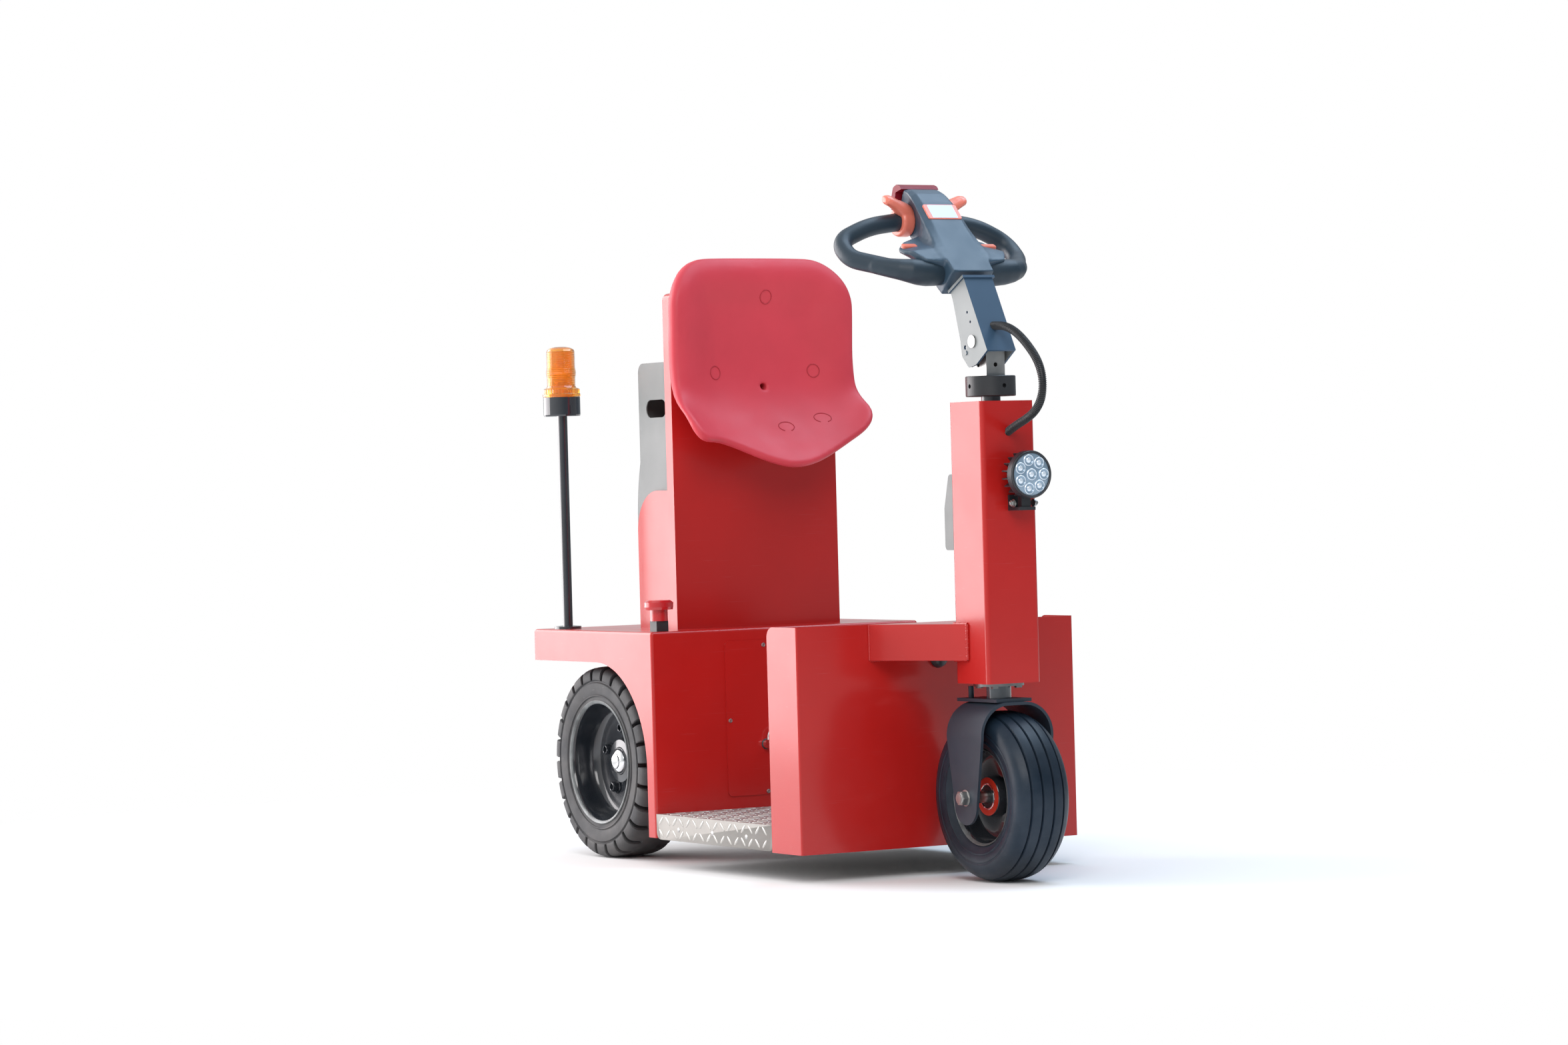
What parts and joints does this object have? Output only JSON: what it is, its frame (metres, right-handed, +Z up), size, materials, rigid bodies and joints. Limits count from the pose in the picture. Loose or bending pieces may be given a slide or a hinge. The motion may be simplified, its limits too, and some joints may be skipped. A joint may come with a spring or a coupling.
{
  "type": "three-wheel ride-on electric tow tractor",
  "caption": "Small ride-on electric tow tractor for baggage carts: deck with bucket seat, step, apron, steering column with tiller and single front wheel, rear tow hitch and amber beacon.",
  "frame": {"origin": "on the floor, under the middle of the machine's box, without the cable conduit", "axes": "+X forward, +Y to the driver's left, +Z up"},
  "size_m": [1.452, 0.606, 1.2766],
  "materials": {
    "red_paint": "glossy red powder coat",
    "black_steel": "satin black paint",
    "chequer_plate": "five-bar aluminium chequer plate",
    "bright_steel": "zinc-plated or bare steel",
    "grey_plate": "light grey coat",
    "tiller_plastic": "dark blue-grey moulding",
    "cap_plastic": "dark red moulding",
    "rocker_plastic": "orange-red moulding",
    "black_plastic": "black plastic",
    "amber_lens": "amber lens",
    "clear_lens": "clear lens",
    "seat_plastic": "moulded red plastic",
    "rubber": "black rubber"
  },
  "bodies": {
    "chassis": {"body_shell": "red_paint", "chassis_box": "black_steel", "hatch_panel": "red_paint", "hatch_handle": "bright_steel", "floor_frame": "black_steel", "step_plate": "chequer_plate", "apron": "red_paint", "front_arm": "red_paint", "column": "red_paint", "column_pad": "grey_plate", "bearing_flange": "bright_steel", "lamp_housing": "black_steel", "lamp_lens": "clear_lens", "seat_post": "red_paint", "seat_gussets": "red_paint", "rear_cover": "grey_plate", "seat_shell": "seat_plastic", "beacon_pole": "black_steel", "beacon_base": "black_plastic", "beacon_lens": "amber_lens", "stop_base": "black_steel", "stop_button": "cap_plastic", "tow_hitch": "black_steel", "tow_pin": "bright_steel", "rear_axle": "black_steel", "motor_block": "black_steel", "battery_block": "black_steel"},
    "steering": {"fork": "black_steel", "steer_shaft": "bright_steel", "collar": "black_steel", "tiller_block": "bright_steel", "front_axle": "bright_steel"},
    "tiller": {"tiller_arm": "tiller_plastic", "pivot_bolt": "bright_steel", "head_cover": "tiller_plastic", "head_cap": "cap_plastic", "handle_loops": "tiller_plastic", "thumb_rockers": "rocker_plastic", "conduit": "black_plastic"},
    "front_wheel": {"front_tyre": "rubber", "front_rim": "black_steel"},
    "rear_wheel_right": {"rear_tyre_right": "rubber", "rear_rim_right": "black_steel"},
    "rear_wheel_left": {"rear_tyre_left": "rubber", "rear_rim_left": "black_steel"}
  },
  "joints": [
    {"name": "steer", "type": "hinge", "parent": "chassis", "child": "steering", "pos_m": [0.561, 0, 0.359], "axis": [0, 0, 1], "range_deg": [-60, 60], "deforming": ["conduit"]},
    {"name": "tiller_tilt", "type": "hinge", "parent": "steering", "child": "tiller", "pos_m": [0.553, 0, 0.977], "axis": [0, 1, 0], "range_deg": [-36, 0], "deforming": ["conduit"]},
    {"name": "front_wheel_spin", "type": "hinge", "parent": "steering", "child": "front_wheel", "pos_m": [0.561, 0, 0.154], "axis": [0, 1, 0], "continuous": true},
    {"name": "rear_wheel_right_spin", "type": "hinge", "parent": "chassis", "child": "rear_wheel_right", "pos_m": [-0.485, -0.208, 0.189], "axis": [0, 1, 0], "continuous": true},
    {"name": "rear_wheel_left_spin", "type": "hinge", "parent": "chassis", "child": "rear_wheel_left", "pos_m": [-0.485, 0.208, 0.189], "axis": [0, 1, 0], "continuous": true}
  ]
}
